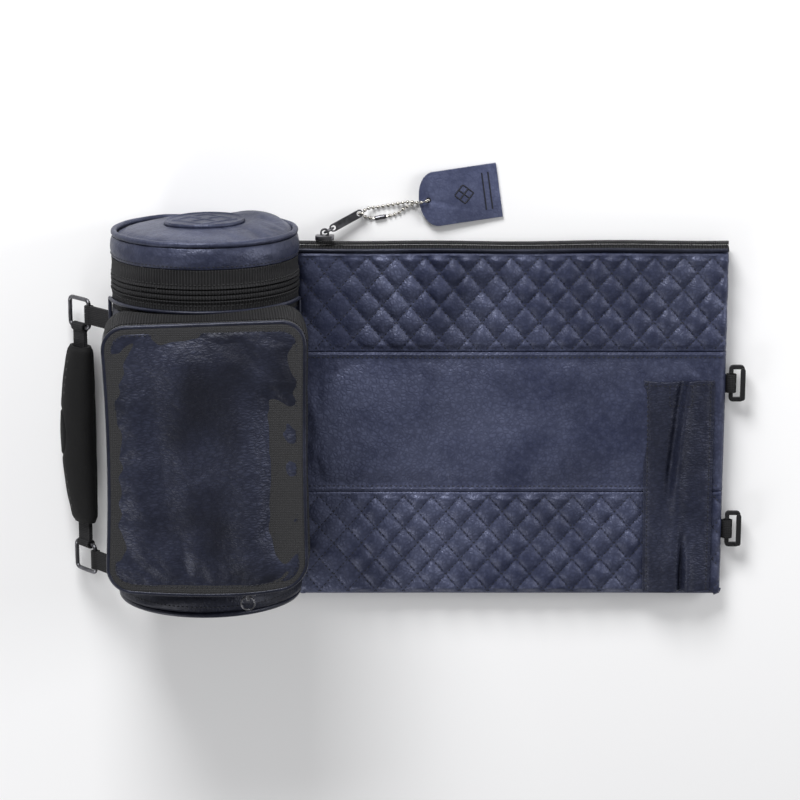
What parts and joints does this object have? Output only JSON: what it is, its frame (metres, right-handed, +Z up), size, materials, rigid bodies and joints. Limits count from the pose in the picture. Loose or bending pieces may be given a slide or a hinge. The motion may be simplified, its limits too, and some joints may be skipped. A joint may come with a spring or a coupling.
{
  "type": "cash deposit bag",
  "caption": "Barrel-shaped leather zip case with a front pocket and carry handle, linked to a flat quilted zip pouch with a tag and clips.",
  "frame": {"origin": "centre of the case's flat back, on the surface that the bag lies on", "axes": "+X across from the barrel case to the flat pouch, +Y up the case towards its lid, +Z up from the table"},
  "size_m": [0.4443, 0.2844, 0.1357],
  "materials": {
    "navy_leather": "soft grained navy leather",
    "black_webbing": "woven black nylon",
    "black_coil": "black nylon zip coil",
    "gunmetal": "dark plated metal",
    "nickel": "nickel ball chain",
    "black_rubber": "matte black rubber",
    "clip_plastic": "moulded black plastic",
    "lining": "padded cloth lining",
    "board": "stiff base board"
  },
  "bodies": {
    "case": {"case_shell": "navy_leather", "case_lining": "lining", "case_base_board": "board", "case_base_panel": "navy_leather", "case_base_piping": "navy_leather", "case_zip_tape": "black_webbing", "case_zip_coil": "black_coil", "case_hinge_strip": "black_webbing", "pocket_gusset": "black_webbing", "pocket_rear_piping": "navy_leather", "pocket_zip_coil": "black_coil", "upper_ring_tab": "black_webbing", "lower_ring_tab": "black_webbing", "link_tab_upper": "black_webbing", "link_tab_lower": "black_webbing", "link_ring_upper": "gunmetal", "link_ring_lower": "gunmetal"},
    "lid": {"lid_zip_coil": "black_coil", "lid_zip_tape": "black_webbing", "lid_band": "navy_leather", "lid_pad": "lining", "lid_hinge_strip": "black_webbing", "lid_piping": "navy_leather", "lid_top": "navy_leather", "lid_emblem": "navy_leather"},
    "lid_slider_body": {"lid_slider": "gunmetal"},
    "lid_pull_body": {"lid_pull": "gunmetal"},
    "pocket_flap": {"pocket_panel": "navy_leather", "pocket_panel_piping": "navy_leather"},
    "pocket_slider_body": {"pocket_slider": "gunmetal"},
    "pocket_pull_body": {"pocket_pull": "gunmetal"},
    "handle": {"upper_ring": "gunmetal", "lower_ring": "gunmetal", "handle_strap": "black_webbing", "handle_grip": "black_rubber"},
    "pouch": {"pouch_back": "navy_leather", "pouch_lining": "lining", "pouch_lower_quilt": "navy_leather", "pouch_centre_panel": "navy_leather", "pouch_upper_quilt": "navy_leather", "pouch_welt": "navy_leather", "pouch_zip_tape_front": "black_webbing", "pouch_zip_tape_back": "black_webbing", "pouch_zip_coil": "black_coil", "pouch_sleeve": "navy_leather", "pouch_loop_upper": "black_webbing", "pouch_loop_lower": "black_webbing", "clip_tab_upper": "black_webbing", "clip_tab_lower": "black_webbing"},
    "pouch_slider_body": {"pouch_slider": "gunmetal"},
    "pouch_pull_body": {"pull_link": "gunmetal", "pouch_pull": "gunmetal"},
    "chain": {"tag_chain": "nickel", "chain_clasp": "gunmetal"},
    "tag": {"leather_tag": "navy_leather"},
    "clip_upper": {"clip_frame_upper": "clip_plastic"},
    "gate_upper": {"clip_gate_upper": "clip_plastic"},
    "clip_lower": {"clip_frame_lower": "clip_plastic"},
    "gate_lower": {"clip_gate_lower": "clip_plastic"}
  },
  "joints": [
    {"name": "lid_hinge", "type": "hinge", "parent": "case", "child": "lid", "pos_m": [0, 0.08775, 0], "axis": [-1, 0, 0], "range_deg": [0, 110]},
    {"name": "lid_slider_run", "type": "hinge", "parent": "case", "child": "lid_slider_body", "pos_m": [0, 0.08775, 0.05022], "axis": [0, 1, 0], "range_deg": [0, 190]},
    {"name": "lid_pull_swing", "type": "hinge", "parent": "lid_slider_body", "child": "lid_pull_body", "pos_m": [-0.05676, 0.08775, 0.0213], "axis": [0, 1, 0], "range_deg": [0, 110]},
    {"name": "pocket_flap_hinge", "type": "hinge", "parent": "case", "child": "pocket_flap", "pos_m": [-0.0585, -0.008, 0.12852], "axis": [0, -1, 0], "range_deg": [0, 110]},
    {"name": "pocket_slider_run", "type": "slide", "parent": "case", "child": "pocket_slider_body", "axis": [1, 0, 0], "range_m": [-0.07, 0.014]},
    {"name": "pocket_pull_swing", "type": "hinge", "parent": "pocket_slider_body", "child": "pocket_pull_body", "pos_m": [0.0285, -0.0966, 0.12822], "axis": [1, 0, 0], "range_deg": [-60, 90]},
    {"name": "handle_swing", "type": "hinge", "parent": "case", "child": "handle", "pos_m": [-0.07651, -0.02193, 0.02634], "axis": [0, 1, 0], "range_deg": [0, 110]},
    {"name": "pouch_swing", "type": "hinge", "parent": "case", "child": "pouch", "pos_m": [0.05229, -0.02002, 0.008], "axis": [0, -1, 0], "range_deg": [0, 55]},
    {"name": "pouch_slider_run", "type": "slide", "parent": "pouch", "child": "pouch_slider_body", "axis": [1, 0, 0], "range_m": [-0.012, 0.25]},
    {"name": "pouch_pull_swing", "type": "hinge", "parent": "pouch_slider_body", "child": "pouch_pull_body", "pos_m": [0.07369, 0.1094, 0.008], "axis": [0, 0, 1], "range_deg": [0, 60]},
    {"name": "chain_swing", "type": "hinge", "parent": "pouch_pull_body", "child": "chain", "pos_m": [0.09585, 0.12118, 0.005], "axis": [0, 0, 1], "range_deg": [0, 50]},
    {"name": "tag_swing", "type": "hinge", "parent": "chain", "child": "tag", "pos_m": [0.14015, 0.12968, 0.003], "axis": [0, 0, 1], "range_deg": [0, 40]},
    {"name": "clip_upper_swivel", "type": "hinge", "parent": "pouch", "child": "clip_upper", "pos_m": [0.33679, 0.0105, 0.008], "axis": [0, 1, 0], "range_deg": [-80, 40]},
    {"name": "gate_upper_turn", "type": "hinge", "parent": "clip_upper", "child": "gate_upper", "pos_m": [0.34419, 0.001, 0.008], "axis": [0, 0, -1], "range_deg": [0, 70], "stiffness_Nm_per_rad": 0.0005},
    {"name": "clip_lower_swivel", "type": "hinge", "parent": "pouch", "child": "clip_lower", "pos_m": [0.33679, -0.0875, 0.008], "axis": [0, 1, 0], "range_deg": [-80, 40]},
    {"name": "gate_lower_turn", "type": "hinge", "parent": "clip_lower", "child": "gate_lower", "pos_m": [0.34419, -0.097, 0.008], "axis": [0, 0, -1], "range_deg": [0, 70], "stiffness_Nm_per_rad": 0.0005}
  ]
}
